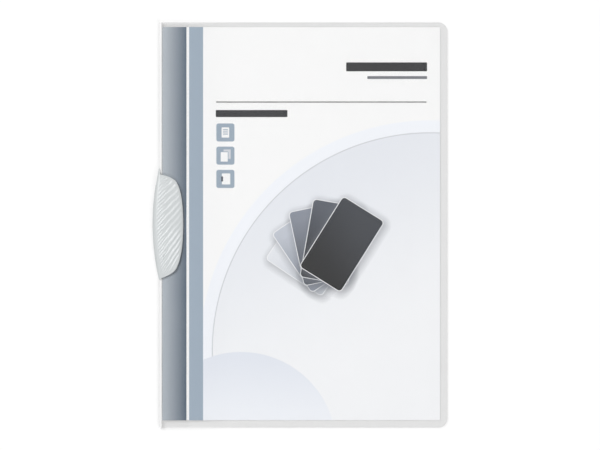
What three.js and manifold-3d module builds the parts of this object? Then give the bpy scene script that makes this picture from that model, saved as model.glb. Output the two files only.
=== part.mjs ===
// Clip folder for A4 sheets: a clear film cover, a loose title sheet and a clip that swings out.
// The folder lies on its back. X runs from the spine to the free edge, Y up the page, Z out of the front.
// Lengths are in millimetres. Inside the builders the spine's outer edge is x = 0 and mid-height is y = 0.

import * as THREE from 'three';
import { mergeVertices } from 'three/addons/utils/BufferGeometryUtils.js';
import Module from 'manifold-3d';

// Cover film
const coverWidth = 218;
const coverHeight = 306;
const filmThickness = 0.4;
const cornerRadius = 7;
const spineHeight = 2.2;
const creaseFromSpine = 22;
const creaseGap = 0.3;
const easeLength = 32;
const easeFromCrease = 2;

// Title sheet
const sheetWidth = 210;
const sheetHeight = 297;
const sheetThickness = 0.2;
const sheetFromSpine = 2.4;
const sheetRaise = 1;
const sheetGap = 0.1;
const frontGap = 0.2;

// Swing clip, measured from the spine's outer edge and from mid-height
const clipTop = 43.1;
const clipBottom = -41.3;
const bellyReach = 4.75;
const bellyRadius = 188;
const leafReach = 18.4;
const tipWidth = 0.5;
const tipLength = 4.9;
const shoulderDrop = 9.7;
const shoulderShare = 0.685;
const heelRise = 6.6;
const heelShare = 0.647;
const upperSideBend = 15.6;
const lowerSideBend = 13.3;
const sideBendShare = 0.935;
const straightSide = 13.5;
const plateReach = 16.6;
const plateInFromTips = 0.9;
const plateShoulder = 16;
const plateThickness = 1.2;
const plateInset = 0.15;
const plateEdgeRound = 0.4;
const filmGap = 0.3;
const wallThickness = 1.6;
const spineGap = 0.4;
const wallBottomInset = 3.6;
const mouthOverrun = 3;
const beltHeight = 3.4;
const bandWidth = 3.8;
const bandWidthAtTip = 0.4;
const crownHeight = 7.2;
const tipHeight = 5.3;
const lipHeight = 5.2;
const jawCrown = 1.7;
const edgeLeftAtTip = 0.35;

// Relief of the leaf
const ripplePitch = 3;
const rippleHeight = 0.56;
const rippleAngle = 45;
const rippleFan = 0.27;
const rimFlat = 0.7;
const rimFade = 1.6;
const rimBevelWidth = 1.3;
const rimBevelDepth = 0.6;
const wander = 0.3;
const joinStart = 6;
const joinEnd = 13;
const calmBelow = -34;
const calmAbove = -22;
const calmShare = 0.45;
const stillHalf = 14;
const stillShare = 0.3;
const rowsPerRipple = 4;

// Pivot rivet
const pivotFromSpine = 3.6;
const pivotFromTop = 7.9;
const shankRadius = 1.3;
const headRadius = 2.6;
const headThickness = 0.45;
const headRound = 0.2;
const runningGap = 0.3;
const seatGap = 0.05;
const rivetFloorGap = 0.1;

// Heights of the layers near the spine
const backLift = plateThickness + filmGap;
const backTop = backLift + filmThickness;
const stripTop = backLift + spineHeight;
const stripBottom = stripTop - filmThickness;
const rivetTop = backTop + seatGap + headThickness;
const sheetLift = rivetTop + sheetGap;
const jawHeight = stripTop + filmGap;

// Heights of the layers over the free part of the folder, where the back film lies on the ground
const sheetBottom = filmThickness + sheetGap;
const frontBottom = sheetBottom + sheetThickness + frontGap;

const easeStart = creaseFromSpine + easeFromCrease;
const easeEnd = easeStart + easeLength;
const clipMiddle = (clipTop + clipBottom) / 2;
const clipHalf = (clipTop - clipBottom) / 2;
const pivotY = clipTop - pivotFromTop;
const wallTop = pivotY - pivotFromSpine - wallThickness;
const wallBottom = clipBottom + wallBottomInset;
const originX = (coverWidth - bellyReach) / 2;

const wasm = await Module();
wasm.setup();

// A closed geometry as a solid that can be cut and joined
function solidOf(geometry) {
  const bare = new THREE.BufferGeometry();
  bare.setAttribute('position', geometry.getAttribute('position'));
  if (geometry.index) bare.setIndex(geometry.index);
  const merged = mergeVertices(bare, 1e-5);
  const mesh = new wasm.Mesh({
    numProp: 3,
    vertProperties: Float32Array.from(merged.getAttribute('position').array),
    triVerts: Uint32Array.from(merged.index.array),
  });
  return new wasm.Manifold(mesh);
}

function geometryOf(solid) {
  const mesh = solid.getMesh();
  const geometry = new THREE.BufferGeometry();
  geometry.setAttribute('position', new THREE.BufferAttribute(mesh.vertProperties, 3));
  geometry.setIndex(new THREE.BufferAttribute(mesh.triVerts, 1));
  geometry.computeVertexNormals();
  return geometry;
}

function smoothStep(from, to, value) {
  const t = Math.min(1, Math.max(0, (value - from) / (to - from)));
  return t * t * (3 - 2 * t);
}

// Film and paper

// 1 beside the clip, 0 where the layers lie flat, and a smooth fall between
function ease(x) {
  return 1 - smoothStep(easeStart, easeEnd, x);
}

// Stations along X from one side to the other, close together only where the layers fall
function stations(from, to) {
  const steps = 14;
  const list = [from];
  for (let i = 0; i <= steps; i += 1) list.push(easeStart + (easeEnd - easeStart) * (i / steps));
  list.push(to);
  return list;
}

// A section in X and Z, drawn out along Y between two heights of the page
function drawnOut(shape, bottom, top) {
  const geometry = new THREE.ExtrudeGeometry(shape, {
    depth: top - bottom,
    bevelEnabled: false,
    curveSegments: 8,
  });
  geometry.rotateX(Math.PI / 2);
  geometry.translate(0, top, 0);
  return geometry;
}

// One layer whose underside falls from its height beside the clip to its height on the free part
function layerShape(from, to, raised, flat, thickness) {
  const places = stations(from, to);
  const under = places.map((x) => new THREE.Vector2(x, flat + (raised - flat) * ease(x)));
  const over = under.map((point) => new THREE.Vector2(point.x, point.y + thickness)).reverse();
  return new THREE.Shape([...under, ...over]);
}

// The plan of a panel: square at the spine and rounded at the two free corners
function panelPlan() {
  const right = coverWidth;
  const top = coverHeight / 2;
  const r = cornerRadius;
  const plan = new THREE.Shape();
  plan.moveTo(-1, -top - 1);
  plan.lineTo(right / 2, -top - 1);
  plan.lineTo(right / 2, -top);
  plan.lineTo(right - r, -top);
  plan.absarc(right - r, -top + r, r, -Math.PI / 2, 0, false);
  plan.lineTo(right, top - r);
  plan.absarc(right - r, top - r, r, 0, Math.PI / 2, false);
  plan.lineTo(right / 2, top);
  plan.lineTo(right / 2, top + 1);
  plan.lineTo(-1, top + 1);
  return plan;
}

function roundCorners(film) {
  const depth = stripTop + 2;
  const trim = new THREE.ExtrudeGeometry(panelPlan(), { depth, bevelEnabled: false, curveSegments: 10 });
  trim.translate(0, 0, -1);
  return film.intersect(solidOf(trim));
}

function pinHole(radius, bottom, top) {
  const hole = new THREE.CylinderGeometry(radius, radius, top - bottom, 32);
  hole.rotateX(Math.PI / 2);
  hole.translate(pivotFromSpine, pivotY, (bottom + top) / 2);
  return solidOf(hole);
}

// Back panel, rounded spine fold and the strip under the clip, as one bent film
function backCover() {
  const back = stations(spineHeight / 2, coverWidth);
  const outer = spineHeight / 2;
  const inner = outer - filmThickness;
  const middle = backLift + outer;
  const stripEnd = creaseFromSpine - creaseGap / 2;
  const section = new THREE.Shape();
  section.moveTo(coverWidth, 0);
  for (const x of back.slice().reverse()) section.lineTo(x, backLift * ease(x));
  section.absarc(outer, middle, outer, -Math.PI / 2, Math.PI / 2, true);
  section.lineTo(stripEnd, stripTop);
  section.lineTo(stripEnd, stripBottom);
  section.lineTo(outer, stripBottom);
  section.absarc(outer, middle, inner, Math.PI / 2, -Math.PI / 2, false);
  for (const x of back) section.lineTo(x, filmThickness + backLift * ease(x));
  const film = solidOf(drawnOut(section, -coverHeight / 2, coverHeight / 2));
  const hole = pinHole(shankRadius + runningGap, backLift - 1, backTop + 0.2);
  return geometryOf(roundCorners(film).subtract(hole));
}

// Front panel from the crease to the free edge
function frontCover() {
  const from = creaseFromSpine + creaseGap / 2;
  const section = layerShape(from, coverWidth, stripBottom, frontBottom, filmThickness);
  const film = solidOf(drawnOut(section, -coverHeight / 2, coverHeight / 2));
  return geometryOf(roundCorners(film));
}

// Loose sheet between the films, raised at the spine by the head of the rivet
function titleSheet() {
  const to = sheetFromSpine + sheetWidth;
  const section = layerShape(sheetFromSpine, to, sheetLift, sheetBottom, sheetThickness);
  return drawnOut(section, sheetRaise - sheetHeight / 2, sheetRaise + sheetHeight / 2);
}

// Swing clip

// The belly is an arc round the outside of the spine
function belly(y) {
  const rise = y - clipMiddle;
  return bellyRadius - bellyReach - Math.sqrt(bellyRadius ** 2 - rise ** 2);
}

const upperTip = belly(clipTop) + tipWidth;
const lowerTip = belly(clipBottom) + tipWidth;

// The rest of the leaf's outline: a slanted top edge, a long right side and a slanted bottom edge
function addLeafEdge(shape) {
  const shoulder = new THREE.Vector2(shoulderShare * leafReach, clipTop - shoulderDrop);
  const heel = new THREE.Vector2(heelShare * leafReach, clipBottom + heelRise);
  shape.lineTo(upperTip + tipWidth, clipTop - tipLength);
  shape.quadraticCurveTo(leafReach / 2, clipTop - (2 * shoulderDrop) / 3, shoulder.x, shoulder.y);
  shape.bezierCurveTo(
    sideBendShare * leafReach, clipTop - upperSideBend,
    leafReach, clipMiddle + straightSide,
    leafReach, clipMiddle,
  );
  shape.bezierCurveTo(
    leafReach, clipMiddle - straightSide,
    sideBendShare * leafReach, clipBottom + lowerSideBend,
    heel.x, heel.y,
  );
  shape.quadraticCurveTo(
    0.44 * leafReach, clipBottom + heelRise / 2,
    lowerTip + 2 * tipWidth, clipBottom + 2 * tipWidth,
  );
  shape.lineTo(lowerTip, clipBottom);
}

function edgePoints() {
  const edge = new THREE.Path();
  edge.moveTo(upperTip, clipTop);
  addLeafEdge(edge);
  return edge.getPoints(16);
}

function bellyPoints() {
  const steps = 48;
  const points = [];
  for (let i = 0; i <= steps; i += 1) {
    const y = clipBottom + (clipTop - clipBottom) * (i / steps);
    points.push(new THREE.Vector2(belly(y), y));
  }
  return points;
}

const leafEdge = edgePoints();
const leafOutline = [...leafEdge, ...bellyPoints()];

function distanceToEdge(x, y) {
  const point = new THREE.Vector3(x, y, 0);
  const nearest = new THREE.Vector3();
  let least = Infinity;
  for (let i = 1; i < leafEdge.length; i += 1) {
    const from = new THREE.Vector3(leafEdge[i - 1].x, leafEdge[i - 1].y, 0);
    const to = new THREE.Vector3(leafEdge[i].x, leafEdge[i].y, 0);
    new THREE.Line3(from, to).closestPointToPoint(point, true, nearest);
    least = Math.min(least, nearest.distanceTo(point));
  }
  return least;
}

// 1 at mid-length of the clip and 0 at its tips
function arch(y) {
  return Math.max(0, 1 - ((y - clipMiddle) / clipHalf) ** 2);
}

// 0 where the rounded band ends and 1 at the lip
function acrossLeaf(x, y) {
  const fromBelly = x - belly(y);
  return Math.max(0, (fromBelly - bandWidth) / (leafReach + bellyReach - bandWidth));
}

// The leaf without its relief: a rounded band at the belly, then a slow fall to the lip
function leafForm(x, y) {
  const peak = tipHeight + (crownHeight - tipHeight) * arch(y);
  const band = bandWidthAtTip + (bandWidth - bandWidthAtTip) * Math.sqrt(arch(y));
  const inward = Math.min(1, Math.max(0, x - belly(y)) / band);
  const rounded = beltHeight + (peak - beltHeight) * Math.sqrt(1 - (1 - inward) ** 2);
  const fall = (peak - Math.min(peak, lipHeight)) * acrossLeaf(x, y) ** 2;
  const bevel = Math.max(0, 1 - distanceToEdge(x, y) / rimBevelWidth) ** 2;
  const bevelDepth = rimBevelDepth * (edgeLeftAtTip + (1 - edgeLeftAtTip) * arch(y));
  return rounded - fall - bevelDepth * bevel;
}

// The underside of the leaf, arched over the folder with its lip close to the film
function jaw(x, y) {
  return jawHeight + jawCrown * arch(y) * (1 - Math.min(1, acrossLeaf(x, y)) ** 2);
}

// The ripples run up to the right, steeper towards the bottom of the clip
function slant(row) {
  return Math.tan(THREE.MathUtils.degToRad(rippleAngle - rippleFan * row));
}

// Close ridges at the belly that join in pairs on their way to the lip
function ripple(row, x, y) {
  const fromBelly = x - belly(y);
  const drift = wander * Math.sin(y / ripplePitch + x / 2);
  const phase = (2 * Math.PI * (row + drift)) / ripplePitch;
  const joined = smoothStep(joinStart, joinEnd, fromBelly);
  const wave = (1 - joined) * Math.cos(phase) + joined * Math.cos(phase / 2);
  const clearOfRim = smoothStep(rimFlat, rimFlat + rimFade, distanceToEdge(x, y));
  const clearOfBand = smoothStep(bandWidth - rimFlat, bandWidth + rimFlat, fromBelly);
  const lively = calmShare + (1 - calmShare) * smoothStep(calmBelow, calmAbove, y);
  const still = stillShare * joined * (1 - smoothStep(0, stillHalf, Math.abs(y - clipMiddle)));
  return (rippleHeight / 2) * wave * clearOfRim * clearOfBand * (lively - still);
}

// The row that passes through a point of the plan
function rowThrough(point) {
  let row = point.y;
  for (let i = 0; i < 40; i += 1) row = 0.5 * row + 0.5 * (point.y - slant(row) * point.x);
  return row;
}

// Where a row enters and leaves the outline of the leaf
function rowEnds(row) {
  const lean = slant(row);
  const above = (point) => point.y - row - lean * point.x;
  const places = [];
  leafOutline.forEach((from, i) => {
    const to = leafOutline[(i + 1) % leafOutline.length];
    const a = above(from);
    const b = above(to);
    if (a < 0 !== b < 0) places.push(from.x + (to.x - from.x) * (a / (a - b)));
  });
  return [Math.min(...places), Math.max(...places)];
}

// Places along one row: close together over the band and the rim, even between them
function rowPlaces(row) {
  const [from, to] = rowEnds(row);
  const inner = [0, 0.03, 0.13, 0.32, 0.6, 0.9].map((share) => share * bandWidth);
  const outer = [1.15, 0.65, 0.27, 0].map((share) => share * rimBevelWidth);
  const middle = 6;
  const scale = Math.min(1, (to - from) / (2 * bandWidth));
  const left = inner.map((d) => from + d * scale);
  const right = outer.map((d) => to - d * scale);
  const between = [];
  const start = left[left.length - 1];
  for (let i = 1; i <= middle; i += 1) between.push(start + (right[0] - start) * (i / (middle + 1)));
  return [...left, ...between, ...right];
}

// A solid under rows of points, with upright sides and a flat floor
function solidUnder(rows, floor) {
  const columns = rows[0].length;
  const points = [];
  const faces = [];
  const put = (x, y, z) => points.push(x, y, z) / 3 - 1;
  const top = rows.map((row) => row.map((p) => put(p.x, p.y, p.z)));
  const left = rows.map((row) => put(row[0].x, row[0].y, floor));
  const right = rows.map((row) => put(row[columns - 1].x, row[columns - 1].y, floor));
  const quad = (a, b, c, d) => faces.push(a, b, c, a, c, d);
  for (let i = 1; i < rows.length; i += 1) {
    const j = i - 1;
    for (let k = 1; k < columns; k += 1) quad(top[j][k - 1], top[j][k], top[i][k], top[i][k - 1]);
    quad(left[j], top[j][0], top[i][0], left[i]);
    quad(right[j], right[i], top[i][columns - 1], top[j][columns - 1]);
    quad(left[j], left[i], right[i], right[j]);
  }
  const close = (i, flip) => {
    const rim = [...top[i], right[i]];
    for (let k = 1; k < rim.length; k += 1) {
      if (flip) faces.push(left[i], rim[k - 1], rim[k]);
      else faces.push(left[i], rim[k], rim[k - 1]);
    }
  };
  close(0, false);
  close(rows.length - 1, true);
  const geometry = new THREE.BufferGeometry();
  geometry.setAttribute('position', new THREE.Float32BufferAttribute(points, 3));
  geometry.setIndex(faces);
  return solidOf(geometry);
}

// Everything under the rippled front of the clip, down into the base plate
function frontForm() {
  const rows = leafOutline.map(rowThrough);
  const shortestRow = 0.1;
  const first = Math.min(...rows) + shortestRow;
  const last = Math.max(...rows) - shortestRow;
  const step = ripplePitch / rowsPerRipple;
  const places = [first];
  for (let i = Math.ceil(first / step + 0.3); i < last / step - 0.3; i += 1) places.push(i * step);
  places.push(last);
  const grid = places.map((row) => rowPlaces(row).map((x) => {
    const y = row + slant(row) * x;
    return new THREE.Vector3(x, y, leafForm(x, y) + ripple(row, x, y));
  }));
  return solidUnder(grid, plateThickness / 2);
}

// The mouth that takes the folder: open to the right, and open all round at both tips
function mouth() {
  const columns = 14;
  const lines = 26;
  const grid = [];
  for (let i = 0; i <= lines; i += 1) {
    const y = clipBottom - mouthOverrun + 2 * (clipHalf + mouthOverrun) * (i / lines);
    const row = [];
    for (let k = 0; k <= columns; k += 1) {
      const across = leafReach + bellyReach + 2 * mouthOverrun;
      const x = -bellyReach - mouthOverrun + across * (k / columns);
      row.push(new THREE.Vector3(x, y, jaw(x, y)));
    }
    grid.push(row);
  }
  return solidUnder(grid, 0).subtract(wallRoom());
}

// Plan of the wall that joins the leaf to the base plate outside the spine
function wallRoom() {
  const steps = 24;
  const plan = new THREE.Shape();
  const outside = -bellyReach - 2 * mouthOverrun;
  plan.moveTo(outside, wallBottom);
  for (let i = 0; i <= steps; i += 1) {
    const y = wallBottom + (wallTop - wallBottom) * (i / steps);
    plan.lineTo(Math.min(belly(y) + wallThickness, -spineGap), y);
  }
  plan.lineTo(outside, wallTop);
  const room = new THREE.ExtrudeGeometry(plan, { depth: crownHeight + 2, bevelEnabled: false });
  room.translate(0, 0, -1);
  return solidOf(room);
}

// Oval plate behind the back film, with rounded edges
function basePlate() {
  const inset = plateInset + plateEdgeRound;
  const plan = new THREE.Shape();
  const high = clipTop - plateInFromTips - inset;
  const low = clipBottom + plateInFromTips + inset;
  plan.moveTo(upperTip, high);
  plan.bezierCurveTo(
    0.36 * plateReach, high - plateInFromTips,
    plateReach - inset, high - plateShoulder,
    plateReach - inset, clipMiddle,
  );
  plan.bezierCurveTo(
    plateReach - inset, low + plateShoulder,
    0.42 * plateReach, low + plateInFromTips,
    lowerTip, low,
  );
  const steps = 28;
  for (let i = 0; i <= steps; i += 1) {
    const y = low + (high - low) * (i / steps);
    plan.lineTo(belly(y) + inset, y);
  }
  const plate = new THREE.ExtrudeGeometry(plan, {
    depth: plateThickness - 2 * plateEdgeRound,
    bevelEnabled: true,
    bevelThickness: plateEdgeRound,
    bevelSize: plateEdgeRound,
    bevelSegments: 2,
    curveSegments: 20,
  });
  plate.translate(0, 0, plateEdgeRound);
  const recess = rivetFloorGap + headThickness + seatGap;
  return solidOf(plate)
    .subtract(pinHole(shankRadius + runningGap, -1, plateThickness + 1))
    .subtract(pinHole(headRadius + runningGap, -1, recess));
}

function swingClip() {
  return geometryOf(frontForm().subtract(mouth()).add(basePlate()));
}

// Rivet that the clip turns on, with one head in the base plate and one on the back film
function pivotRivet() {
  const low = rivetFloorGap;
  const high = rivetTop;
  const profile = [
    new THREE.Vector2(0, low),
    new THREE.Vector2(headRadius - headRound, low),
    new THREE.Vector2(headRadius, low + headRound),
    new THREE.Vector2(headRadius, low + headThickness),
    new THREE.Vector2(shankRadius, low + headThickness),
    new THREE.Vector2(shankRadius, high - headThickness),
    new THREE.Vector2(headRadius, high - headThickness),
    new THREE.Vector2(headRadius, high - headRound),
    new THREE.Vector2(headRadius - headRound, high),
    new THREE.Vector2(0, high),
  ];
  const rivet = new THREE.LatheGeometry(profile, 32);
  rivet.rotateX(Math.PI / 2);
  return rivet;
}

// Finishes
const clearFilm = new THREE.MeshStandardMaterial({
  color: 0xdadbd9, roughness: 0.2, metalness: 0, transparent: true, opacity: 0.35,
});
const printedPaper = new THREE.MeshStandardMaterial({ color: 0xf4f5f6, roughness: 0.75, metalness: 0 });
const whitePlastic = new THREE.MeshStandardMaterial({ color: 0xdfe3e3, roughness: 0.32, metalness: 0 });
const rivetPlastic = new THREE.MeshStandardMaterial({ color: 0xe6e8e8, roughness: 0.4, metalness: 0 });

const folder = new THREE.Group();

function place(name, geometry, material, x = 0, y = 0) {
  const mesh = new THREE.Mesh(geometry, material);
  mesh.name = name;
  mesh.position.set(x - originX, y, 0);
  folder.add(mesh);
}

place('back_cover', backCover(), clearFilm);
place('front_cover', frontCover(), clearFilm);
place('title_sheet', titleSheet(), printedPaper);
place('swing_clip', swingClip(), whitePlastic);
place('pivot_rivet', pivotRivet(), rivetPlastic, pivotFromSpine, pivotY);

export default folder;
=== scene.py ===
"""Clip folder: a clear film cover, a printed title sheet and a rippled clip that swings out."""

import math

import bmesh
import bpy
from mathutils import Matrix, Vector


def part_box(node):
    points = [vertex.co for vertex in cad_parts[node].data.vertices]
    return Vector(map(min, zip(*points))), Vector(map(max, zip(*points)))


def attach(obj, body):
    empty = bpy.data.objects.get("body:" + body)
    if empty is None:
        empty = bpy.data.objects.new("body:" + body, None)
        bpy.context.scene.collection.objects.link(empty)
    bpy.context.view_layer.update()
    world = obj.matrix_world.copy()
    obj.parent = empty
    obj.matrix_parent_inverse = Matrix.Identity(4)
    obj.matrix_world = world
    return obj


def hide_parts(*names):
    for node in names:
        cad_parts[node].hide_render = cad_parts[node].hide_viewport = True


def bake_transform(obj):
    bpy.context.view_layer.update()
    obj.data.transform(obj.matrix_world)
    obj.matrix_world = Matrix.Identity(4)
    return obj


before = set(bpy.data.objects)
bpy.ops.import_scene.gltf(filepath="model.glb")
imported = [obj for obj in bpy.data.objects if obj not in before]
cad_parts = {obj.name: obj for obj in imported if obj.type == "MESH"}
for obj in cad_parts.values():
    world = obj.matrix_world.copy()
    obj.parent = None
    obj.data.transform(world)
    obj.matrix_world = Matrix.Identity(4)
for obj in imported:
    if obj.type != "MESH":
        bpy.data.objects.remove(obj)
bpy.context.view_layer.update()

MM = 0.001
scene = bpy.context.scene

# The page's own measure: millimetres from the spine's outer edge, and above mid-height
SPINE_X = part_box("back_cover")[0].x
CREASE_FROM_SPINE = 22.0
CREASE_GAP = 0.3
BEND_STEPS = 4

# Copies of the CAD meshes: doubles merged, flat faces joined, sharp edges in degrees
MERGE_DISTANCE = 0.002
FLAT_WITHIN = 0.05
SAME_PLACE = 0.01
FILM_SHARP, SHEET_SHARP, CLIP_SHARP, RIVET_SHARP = 30, 30, 40, 35

# Faces of the film that are cut edges: those that look along the page, or out at its free end
EDGE_ALONG = 0.7
EDGE_UPRIGHT = 0.3
FREE_END = 8.0

# Film: what each face lets through, its haze, and a bend's middle, reach and painted highlight
# (white laid on for the light that the bend catches)
BACK_FILM = (0.962, 0.02, (0.0, 3.0, 0.9))
FRONT_FILM = (0.975, 0.008, (CREASE_FROM_SPINE, 0.6, 0.03))
FILM_IOR = 1.49
FACING_GLOSS, GRAZING_GLOSS, GRAZING_POWER = 0.018, 0.8, 5.0
EDGE_BODY = 0.8

# Moulded plastic: photographed level and roughness
CLIP_PLASTIC = (203, 0.34)
RIVET_PLASTIC = (221, 0.4)

# Print of the title sheet, in page millimetres
SHEET_TOP, SHEET_BOTTOM = 149.5, -147.5
BAND = (2.3, 20.9)
STRIPE = (22.9, 33.3)
OVERLAP = 2.0
PAGE_MIDDLE, PAGE_SIZE = (120.0, 1.0), (184.8, 297.0)
RULE_X, RULE_Y, RULE_WIDTH = (43.3, 202.0), 92.9, 0.7

# Blank headings: middle, size, corner, and the ink's level and blue
HEADINGS = (
    ((172.0, 119.5), (61.0, 6.6), 0.6, (38, 3)),
    ((180.0, 111.4), (45.0, 2.0), 0.4, (122, 6)),
    ((70.0, 84.2), (54.0, 5.2), 0.5, (46, 3)),
)

# Tiles with pictograms
ICON_X, ICON_SIZE, ICON_CORNER = 50.2, 13.5, 1.6
ICON_Y = (69.9, 52.4, 34.8)
PAGE_LINES = (2.0, 0.4, -1.2)

# Picture: two discs, and a fan of cards that stand on one foot
DISC_MIDDLE, DISC_RADIUS = (205.0, -95.0), 165.0
DISC_HALO, DISC_RIM = 9.0, 0.8
SMALL_DISC_MIDDLE, SMALL_DISC_RADIUS = (62.0, -168.0), 72.0
FAN_FOOT, FOOT_DEPTH = (126.0, -34.0), 8.0
CARD_WIDTH, CARD_CORNER, CARD_RIM = 36.0, 2.6, 1.0
SHADOW_SHIFT, SHADOW_SOFT, SHADOW_SHARE = (1.2, -1.6), 6.0, 0.45
LABEL_DOWN, LABEL_INSET, LABEL_HEIGHT, LABEL_SHARE = 14.5, 7.0, 3.4, 0.5

# Cards: turn in degrees, length, and the dark and light tones as level and blue
CARDS = (
    (56.0, 50.0, (204, 8), (236, 5)),
    (34.0, 53.0, (146, 12), (204, 10)),
    (12.0, 56.0, (84, 10), (148, 12)),
    (-10.0, 59.0, (36, 6), (96, 10)),
    (-32.0, 62.0, (12, 2), (62, 7)),
)

# The photograph's frame and its scale, taken from the A4 sheet
PHOTO_WIDTH_PX = 600
PX_PER_MM = 1.3232
PHOTO_CENTRE_MM = (106.56, 0.0)
CAMERA_HEIGHT = 3.0
SENSOR_MM = 36.0
NEAR, FAR = 0.1, 20.0

# Floor, sky and lamps: place, size and power
FLOOR_DROP = 0.2 * MM
FLOOR_SIZE = 12.0
FLOOR_TONE = (0.55, 0.55, 0.55, 1.0)
FLOOR_GLOW = 0.43
SKY_LIGHT = 0.38
LAMPS = {
    "key": ((-2.26, 1.7, 4.36), 2.4, 170.0),
    "fill": ((1.8, -2.4, 3.3), 2.5, 54.0),
}


def page_x(across):
    """Row frame X of a distance from the spine in millimetres."""
    return SPINE_X + across * MM


# Meshes


def new_object(name, bm):
    mesh = bpy.data.meshes.new(name)
    bm.to_mesh(mesh)
    bm.free()
    piece = bpy.data.objects.new(name, mesh)
    scene.collection.objects.link(piece)
    return piece


def merged_copy(node):
    """A bmesh of a CAD node with its loose triangles joined and its flat faces cleaned."""
    bm = bmesh.new()
    bm.from_mesh(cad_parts[node].data)
    bmesh.ops.remove_doubles(bm, verts=bm.verts, dist=MERGE_DISTANCE * MM)
    bmesh.ops.dissolve_limit(
        bm, angle_limit=math.radians(FLAT_WITHIN), verts=bm.verts, edges=bm.edges
    )
    return bm


def finished(name, bm, sharp_from, *materials):
    """An object of a mesh, smooth but for edges sharper than an angle, with its materials."""
    piece = new_object(name, bm)
    mesh = piece.data
    if "custom_normal" in mesh.attributes:
        mesh.attributes.remove(mesh.attributes["custom_normal"])
    mesh.shade_smooth()
    mesh.set_sharp_from_angle(angle=math.radians(sharp_from))
    mesh.materials.clear()
    for material in materials:
        mesh.materials.append(material)
    return piece


# Materials


class Paint:
    """A material's nodes, added one by one."""

    def __init__(self, name):
        self.material = bpy.data.materials.new(name)
        self.material.use_nodes = True
        self.tree = self.material.node_tree
        self.tree.nodes.clear()
        self.output = self.add("ShaderNodeOutputMaterial")

    def add(self, kind, **settings):
        node = self.tree.nodes.new(kind)
        for key, value in settings.items():
            setattr(node, key, value)
        return node

    def feed(self, socket, value):
        if isinstance(value, bpy.types.NodeSocket):
            self.tree.links.new(value, socket)
        else:
            socket.default_value = value

    def math(self, operation, a, b=0.0):
        node = self.add("ShaderNodeMath", operation=operation)
        self.feed(node.inputs[0], a)
        self.feed(node.inputs[1], b)
        return node.outputs[0]

    def vector(self, operation, a, b=(0.0, 0.0, 0.0)):
        node = self.add("ShaderNodeVectorMath", operation=operation)
        self.feed(node.inputs[0], a)
        self.feed(node.inputs[1], b)
        return node.outputs["Value" if operation in ("LENGTH", "DOT_PRODUCT") else "Vector"]

    def ramp(self, value, low, high, to_low=0.0, to_high=1.0, smooth=False):
        kind = "SMOOTHSTEP" if smooth else "LINEAR"
        node = self.add("ShaderNodeMapRange", interpolation_type=kind)
        self.feed(node.inputs["Value"], value)
        self.feed(node.inputs["From Min"], low)
        self.feed(node.inputs["From Max"], high)
        self.feed(node.inputs["To Min"], to_low)
        self.feed(node.inputs["To Max"], to_high)
        return node.outputs["Result"]

    def spread(self, noise, low, high):
        """A noise, which mostly stays between 0.3 and 0.7, spread from low to high."""
        return self.ramp(noise, 0.3, 0.7, low, high)

    def mix(self, share, a, b):
        node = self.add("ShaderNodeMix", data_type="RGBA")
        self.feed(node.inputs["Factor"], share)
        self.feed(node.inputs[6], a)
        self.feed(node.inputs[7], b)
        return node.outputs[2]

    def place(self):
        """The point's place in millimetres."""
        here = self.add("ShaderNodeTexCoord").outputs["Object"]
        return self.vector("MULTIPLY", here, (1 / MM, 1 / MM, 1 / MM))

    def on_page(self, place):
        """A place in millimetres, measured from the spine's outer edge."""
        return self.vector("SUBTRACT", place, (SPINE_X / MM, 0.0, 0.0))

    def parts(self, vector):
        """A vector's X, Y and Z."""
        node = self.add("ShaderNodeSeparateXYZ")
        self.feed(node.inputs[0], vector)
        return node.outputs

    def noise(self, place, scale, detail=2.0):
        node = self.add("ShaderNodeTexNoise")
        self.feed(node.inputs["Vector"], place)
        self.feed(node.inputs["Scale"], scale)
        self.feed(node.inputs["Detail"], detail)
        return node.outputs["Fac"]

    def bump(self, height, millimetres):
        node = self.add("ShaderNodeBump")
        self.feed(node.inputs["Height"], height)
        self.feed(node.inputs["Distance"], millimetres * MM)
        self.feed(node.inputs["Strength"], 1.0)
        return node.outputs["Normal"]

    def principled(self, **inputs):
        node = self.add("ShaderNodeBsdfPrincipled")
        for key, value in inputs.items():
            self.feed(node.inputs[key.replace("_", " ")], value)
        return node

    def transparent(self, level):
        """A clear shader that lets an even share of the light through."""
        node = self.add("ShaderNodeBsdfTransparent")
        self.feed(node.inputs["Color"], (level, level, level, 1.0))
        return node

    def blend(self, share, a, b):
        """A mix of two shaders."""
        node = self.add("ShaderNodeMixShader")
        self.feed(node.inputs[0], share)
        self.tree.links.new(a.outputs[0], node.inputs[1])
        self.tree.links.new(b.outputs[0], node.inputs[2])
        return node

    def finish(self, shader):
        self.tree.links.new(shader.outputs[0], self.output.inputs["Surface"])
        return self.material


def linear(value):
    value /= 255
    return value / 12.92 if value <= 0.04045 else ((value + 0.055) / 1.055) ** 2.4


def photographed(red, green, blue):
    """A colour of the photograph, 0 to 255, as a linear colour."""
    return (linear(red), linear(green), linear(blue), 1.0)


def grey(level, blue=0.0):
    """A grey with a touch of blue."""
    return photographed(level - blue / 2, level, level + blue)


def slate(level, tint):
    """A grey-blue: red as far below the level as blue is above it."""
    return photographed(level - tint, level, level + tint)


def cool_white(level):
    """An off-white that is a little short of red."""
    return photographed(level - 4, level, level + 1)


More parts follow.
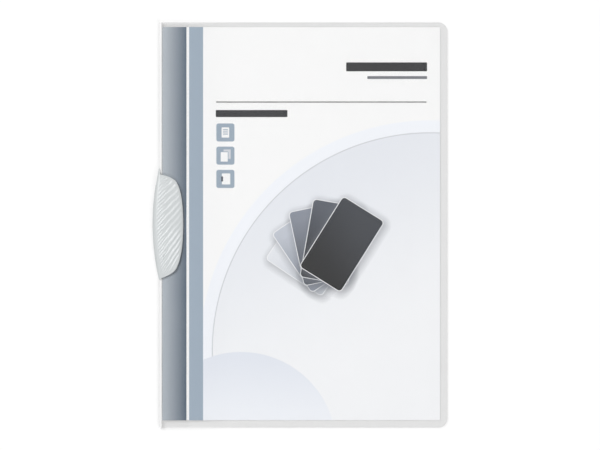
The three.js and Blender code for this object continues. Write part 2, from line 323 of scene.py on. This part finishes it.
def clear_film(name, clear, haze, bend_highlight):
    """Glossy clear film, with a little haze, and a painted highlight: white laid on where it is
    bent, for the light that the bend catches.
    """
    paint = Paint(name)
    place = paint.place()
    from_spine = paint.parts(paint.on_page(place))["X"]
    middle, reach, share = bend_highlight
    off_bend = paint.math("ABSOLUTE", paint.math("SUBTRACT", from_spine, middle))
    # Painted highlight: diffuse white laid on along the spine fold and the front crease, for
    # the light that the bent film catches
    painted_highlight = paint.ramp(off_bend, reach, reach / 2, 0.0, share, smooth=True)
    cloud = paint.noise(place, scale=0.035, detail=3.0)
    # This diffuse white carries both the film's real haze and the painted highlight at the
    # bends
    haze_and_highlight = paint.principled(Base_Color=grey(240), Roughness=0.3, IOR=FILM_IOR)
    haze_and_highlight_share = paint.math("ADD", paint.spread(cloud, haze * 0.8, haze * 1.2), painted_highlight)
    veil = paint.blend(haze_and_highlight_share, paint.transparent(clear), haze_and_highlight)
    shine = paint.add("ShaderNodeBsdfGlossy")
    paint.feed(shine.inputs["Roughness"], paint.spread(cloud, 0.12, 0.2))
    weight = paint.add("ShaderNodeLayerWeight")
    paint.feed(weight.inputs["Blend"], 0.5)
    grazing = paint.math("POWER", weight.outputs["Facing"], GRAZING_POWER)
    gloss = paint.ramp(grazing, 0.0, 1.0, FACING_GLOSS, GRAZING_GLOSS)
    return paint.finish(paint.blend(gloss, veil, shine))


def cut_edge(name):
    """The cut edge of the film, which shows as a fine grey line."""
    paint = Paint(name)
    speckle = paint.noise(paint.place(), scale=0.8)
    body = paint.principled(
        Base_Color=grey(196), Roughness=paint.spread(speckle, 0.3, 0.5), IOR=FILM_IOR
    )
    return paint.finish(paint.blend(EDGE_BODY, paint.transparent(1.0), body))


def moulded(name, level, roughness):
    """Off-white moulded plastic, a little cool, with a very fine grain."""
    paint = Paint(name)
    place = paint.place()
    grain = paint.noise(place, scale=3.5, detail=3.0)
    cloud = paint.noise(place, scale=0.12)
    body = paint.principled(
        Base_Color=paint.mix(cloud, cool_white(level - 2), cool_white(level + 2)),
        Roughness=paint.spread(grain, roughness - 0.05, roughness + 0.05),
        Normal=paint.bump(grain, 0.01),
        IOR=1.5,
    )
    return paint.finish(body)


def plain_paper(name):
    paint = Paint(name)
    fibre = paint.noise(paint.place(), scale=2.2, detail=4.0)
    body = paint.principled(
        Base_Color=paint.mix(fibre, grey(243), grey(250)),
        Roughness=0.8,
        Normal=paint.bump(fibre, 0.01),
    )
    return paint.finish(body)


class Print:
    """The printed front of the title sheet: shapes laid over each other in page millimetres."""

    def __init__(self, name):
        self.paint = Paint(name)
        self.place = self.paint.on_page(self.paint.place())
        self.flat = self.paint.vector("MULTIPLY", self.place, (1.0, 1.0, 0.0))
        parts = self.paint.parts(self.place)
        self.x, self.y = parts["X"], parts["Y"]
        self.colour = grey(252)

    def lay(self, mask, colour):
        self.colour = self.paint.mix(mask, self.colour, colour)

    def lay_faintly(self, share, mask, colour):
        self.lay(self.paint.math("MULTIPLY", mask, share), colour)

    def from_point(self, point):
        return self.paint.vector("SUBTRACT", self.flat, (*point, 0.0))

    def box(self, centre, size, corner=0.0, turn=0.0, soft=0.15):
        """A mask of a rectangle with round corners, turned about its centre."""
        paint = self.paint
        here = self.from_point(centre)
        if turn:
            rotate = paint.add("ShaderNodeVectorRotate", rotation_type="Z_AXIS")
            paint.feed(rotate.inputs["Vector"], here)
            paint.feed(rotate.inputs["Angle"], math.radians(-turn))
            here = rotate.outputs[0]
        inner = (size[0] / 2 - corner, size[1] / 2 - corner, 0.0)
        beyond = paint.vector("SUBTRACT", paint.vector("ABSOLUTE", here), inner)
        outside = paint.vector("MAXIMUM", beyond, (0.0, 0.0, 0.0))
        distance = paint.math("SUBTRACT", paint.vector("LENGTH", outside), corner)
        return paint.ramp(distance, soft, 0.0)

    def strip(self, left, right, bottom, top):
        """A mask of a rectangle given by its sides."""
        middle = ((left + right) / 2, (bottom + top) / 2)
        return self.box(middle, (right - left, top - bottom))

    def disc(self, centre, radius, soft=0.15):
        distance = self.paint.vector("LENGTH", self.from_point(centre))
        return self.paint.ramp(distance, radius + soft, radius)

    def shade_across(self, centre, turn, length, dark, light):
        """A colour that runs from dark to light along a turned line."""
        lean = math.radians(turn)
        way = (math.cos(lean), math.sin(lean), 0.0)
        along = self.paint.vector("DOT_PRODUCT", self.from_point(centre), way)
        share = self.paint.ramp(along, -length / 2, length / 2, smooth=True)
        return self.paint.mix(share, dark, light)

    def both(self, a, b):
        return self.paint.math("MULTIPLY", a, b)


def print_bands(sheet):
    """The shaded band at the spine, the white line and the plain stripe beside it."""
    paint = sheet.paint
    reach = (SHEET_TOP - SHEET_BOTTOM) / 2 + OVERLAP
    across = paint.ramp(sheet.x, *BAND)
    down = paint.ramp(sheet.y, SHEET_TOP, SHEET_BOTTOM)
    pale = paint.mix(down, slate(200, 7), slate(193, 8))
    deep = paint.mix(down, slate(98, 19), slate(88, 19))
    shaded = paint.mix(across, pale, deep)
    sheet.lay(sheet.strip(BAND[0] - 2 * OVERLAP, BAND[1], -reach, reach), shaded)
    sheet.lay(sheet.strip(BAND[1], STRIPE[0], -reach, reach), grey(255))
    sheet.lay(sheet.strip(*STRIPE, -reach, reach), slate(175, 15))


def print_heading(sheet):
    """Blank heading blocks above and below a thin rule."""
    rule = sheet.strip(*RULE_X, RULE_Y - RULE_WIDTH / 2, RULE_Y + RULE_WIDTH / 2)
    sheet.lay(rule, grey(104))
    for middle, size, corner, ink in HEADINGS:
        sheet.lay(sheet.box(middle, size, corner), grey(*ink))


def print_icons(sheet):
    """Three small tiles with a page, a pair of pages and a closed folder."""
    tile = slate(173, 15)
    white = grey(250)
    for y in ICON_Y:
        sheet.lay(sheet.box((ICON_X, y), (ICON_SIZE, ICON_SIZE), ICON_CORNER), tile)
    page, pair, folder = ICON_Y
    sheet.lay(sheet.box((ICON_X, page), (5.6, 7.6), corner=0.4), white)
    for line in PAGE_LINES:
        sheet.lay(sheet.box((ICON_X, page + line), (3.6, 0.6)), tile)
    sheet.lay(sheet.box((ICON_X + 1.3, pair + 1.1), (5.2, 7.0), corner=0.3), grey(218, 6))
    sheet.lay(sheet.box((ICON_X - 0.9, pair - 0.9), (6.2, 8.0), corner=0.6), tile)
    sheet.lay(sheet.box((ICON_X - 0.9, pair - 0.9), (5.2, 7.0), corner=0.3), white)
    sheet.lay(sheet.box((ICON_X + 0.5, folder), (6.2, 8.2), corner=0.5), white)
    sheet.lay(sheet.box((ICON_X - 2.5, folder), (1.3, 3.8), corner=0.6), grey(86, 10))


def print_picture(sheet):
    """A generic picture: a large pale disc with a fine rim, a small one, and a fan of cards."""
    page = sheet.box(PAGE_MIDDLE, PAGE_SIZE)
    for radius, level in ((DISC_RADIUS + DISC_HALO, 249), (DISC_RADIUS, 214)):
        sheet.lay(sheet.both(sheet.disc(DISC_MIDDLE, radius), page), grey(level, 5))
    sheet.lay(
        sheet.both(sheet.disc(DISC_MIDDLE, DISC_RADIUS - DISC_RIM), page),
        sheet.shade_across((140.0, -20.0), -65.0, 170.0, grey(236, 6), grey(248, 2)),
    )
    sheet.lay(
        sheet.both(sheet.disc(SMALL_DISC_MIDDLE, SMALL_DISC_RADIUS), page),
        sheet.shade_across((62.0, -120.0), -90.0, 80.0, grey(232, 9), grey(246, 5)),
    )
    for turn, length, dark, light in CARDS:
        print_card(sheet, turn, length, grey(*dark), grey(*light))


def print_card(sheet, turn, length, dark, light):
    """One card of the fan, with a soft shadow, a white rim and a paler label."""
    lean = math.radians(turn)

    def up_card(along):
        return (FAN_FOOT[0] - along * math.sin(lean), FAN_FOOT[1] + along * math.cos(lean))

    middle = up_card(length / 2 - FOOT_DEPTH)
    shadow_middle = (middle[0] + SHADOW_SHIFT[0], middle[1] + SHADOW_SHIFT[1])
    shadow = sheet.box(shadow_middle, (CARD_WIDTH, length), 3.0, turn, SHADOW_SOFT)
    sheet.lay_faintly(SHADOW_SHARE, shadow, grey(120, 8))
    rim = sheet.box(middle, (CARD_WIDTH + CARD_RIM, length + CARD_RIM), 3.0, turn)
    sheet.lay(rim, grey(248, 2))
    face = sheet.box(middle, (CARD_WIDTH, length), CARD_CORNER, turn)
    sheet.lay(face, sheet.shade_across(middle, turn + 70.0, length, dark, light))
    label_size = (CARD_WIDTH - LABEL_INSET, LABEL_HEIGHT)
    label = sheet.box(up_card(length - LABEL_DOWN), label_size, 1.2, turn)
    sheet.lay_faintly(LABEL_SHARE, label, light)


def printed_front(name):
    """Paper with the print on it: little gloss, so that the inks stay deep."""
    sheet = Print(name)
    paint = sheet.paint
    print_picture(sheet)
    print_bands(sheet)
    print_heading(sheet)
    print_icons(sheet)
    fibre = paint.noise(sheet.place, scale=2.2, detail=4.0)
    toned = paint.add("ShaderNodeVectorMath", operation="SCALE")
    paint.feed(toned.inputs[0], sheet.colour)
    paint.feed(toned.inputs["Scale"], paint.spread(fibre, 0.99, 1.0))
    body = paint.principled(
        Base_Color=toned.outputs[0],
        Roughness=0.62,
        Specular_IOR_Level=0.15,
        Normal=paint.bump(fibre, 0.004),
    )
    return paint.finish(body)


# Pieces


def mark_cut_edges(piece):
    """The narrow sides of the film take its second material, the cut edge."""
    free_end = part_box("front_cover")[1].x - FREE_END * MM
    for face in piece.data.polygons:
        along = abs(face.normal.y) > EDGE_ALONG
        at_end = abs(face.normal.z) < EDGE_UPRIGHT and face.center.x > free_end
        face.material_index = 1 if along or at_end else 0


def make_back_film(edge):
    clear = clear_film("back_film_clear", *BACK_FILM)
    piece = finished("back_film", merged_copy("back_cover"), FILM_SHARP, clear, edge)
    mark_cut_edges(piece)
    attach(piece, "folder")
    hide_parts("back_cover")


def make_front_film(edge):
    """The front panel, carried over the crease so that the film stays whole when it opens."""
    bm = merged_copy("front_cover")
    start = page_x(CREASE_FROM_SPINE - CREASE_GAP / 2)
    crease_side = page_x(CREASE_FROM_SPINE + CREASE_GAP / 2)
    near = SAME_PLACE * MM
    ends = [f for f in bm.faces if all(abs(v.co.x - crease_side) < near for v in f.verts)]
    step = ((start - crease_side) / BEND_STEPS, 0, 0)
    for _ in range(BEND_STEPS):
        made = bmesh.ops.extrude_face_region(bm, geom=ends)["geom"]
        bmesh.ops.delete(bm, geom=ends, context="FACES")
        ends = [g for g in made if isinstance(g, bmesh.types.BMFace)]
        verts = [g for g in made if isinstance(g, bmesh.types.BMVert)]
        bmesh.ops.translate(bm, verts=verts, vec=step)
    bmesh.ops.recalc_face_normals(bm, faces=bm.faces)
    clear = clear_film("front_film_clear", *FRONT_FILM)
    piece = finished("front_film", bm, FILM_SHARP, clear, edge)
    mark_cut_edges(piece)
    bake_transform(piece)
    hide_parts("front_cover")


def make_sheet():
    front, back = printed_front("sheet_front"), plain_paper("sheet_back")
    piece = finished("printed_sheet", merged_copy("title_sheet"), SHEET_SHARP, front, back)
    for face in piece.data.polygons:
        face.material_index = 0 if face.normal.z > 0.5 else 1
    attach(piece, "folder")
    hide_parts("title_sheet")


def make_clip():
    plastic = moulded("clip_plastic", *CLIP_PLASTIC)
    piece = finished("rippled_clip", merged_copy("swing_clip"), CLIP_SHARP, plastic)
    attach(piece, "clip")
    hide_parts("swing_clip")


def make_rivet():
    plastic = moulded("rivet_plastic", *RIVET_PLASTIC)
    piece = finished("clip_rivet", merged_copy("pivot_rivet"), RIVET_SHARP, plastic)
    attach(piece, "folder")
    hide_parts("pivot_rivet")


# Surroundings


def seen_directly(tree):
    """1 for a ray from the camera, or one that a gloss or a clear piece passes on."""
    path = tree.nodes.new("ShaderNodeLightPath")
    total = path.outputs["Is Camera Ray"]
    for name in ("Is Glossy Ray", "Is Transmission Ray"):
        add = tree.nodes.new("ShaderNodeMath")
        add.operation = "ADD"
        add.use_clamp = True
        tree.links.new(total, add.inputs[0])
        tree.links.new(path.outputs[name], add.inputs[1])
        total = add.outputs[0]
    return total


def make_floor():
    """A plain floor that keeps the object's shadow and looks white to the camera."""
    bm = bmesh.new()
    bmesh.ops.create_grid(bm, x_segments=1, y_segments=1, size=FLOOR_SIZE / 2)
    bmesh.ops.translate(bm, verts=bm.verts, vec=(0, 0, -FLOOR_DROP))
    floor = new_object("floor", bm)
    paint = Paint("floor_white")
    diffuse = paint.add("ShaderNodeBsdfDiffuse")
    paint.feed(diffuse.inputs["Color"], FLOOR_TONE)
    glow = paint.add("ShaderNodeEmission")
    strength = paint.math("MULTIPLY", seen_directly(paint.tree), FLOOR_GLOW)
    paint.feed(glow.inputs["Strength"], strength)
    total = paint.add("ShaderNodeAddShader")
    paint.tree.links.new(diffuse.outputs[0], total.inputs[0])
    paint.tree.links.new(glow.outputs[0], total.inputs[1])
    floor.data.materials.append(paint.finish(total))


def make_sky():
    world = bpy.data.worlds.new("studio")
    scene.world = world
    world.use_nodes = True
    tree = world.node_tree
    background = tree.nodes["Background"]
    background.inputs["Color"].default_value = (1, 1, 1, 1)
    ramp = tree.nodes.new("ShaderNodeMapRange")
    ramp.inputs["To Min"].default_value = SKY_LIGHT
    ramp.inputs["To Max"].default_value = 1.0
    tree.links.new(seen_directly(tree), ramp.inputs["Value"])
    tree.links.new(ramp.outputs["Result"], background.inputs["Strength"])


def make_lamp(name, place, size, power):
    light = bpy.data.lights.new(name, "AREA")
    light.shape = "DISK"
    light.size = size
    light.energy = power
    lamp = bpy.data.objects.new(name, light)
    lamp.location = place
    lamp.rotation_mode = "QUATERNION"
    lamp.rotation_quaternion = (-Vector(place)).to_track_quat("-Z", "Y")
    scene.collection.objects.link(lamp)


def make_camera():
    """A camera straight above the page, as the photograph was taken."""
    data = bpy.data.cameras.new("camera")
    data.sensor_width = SENSOR_MM
    data.lens = SENSOR_MM * CAMERA_HEIGHT / (PHOTO_WIDTH_PX / PX_PER_MM * MM)
    data.clip_start = NEAR
    data.clip_end = FAR
    camera = bpy.data.objects.new("camera", data)
    across, up = PHOTO_CENTRE_MM
    camera.location = (page_x(across), up * MM, CAMERA_HEIGHT)
    scene.collection.objects.link(camera)
    scene.camera = camera


make_camera()
scene.view_settings.view_transform = "Standard"
make_floor()
make_sky()
for lamp_name, (place, size, power) in LAMPS.items():
    make_lamp(lamp_name, place, size, power)

film_edge = cut_edge("film_edge")
make_back_film(film_edge)
make_front_film(film_edge)
make_sheet()
make_clip()
make_rivet()
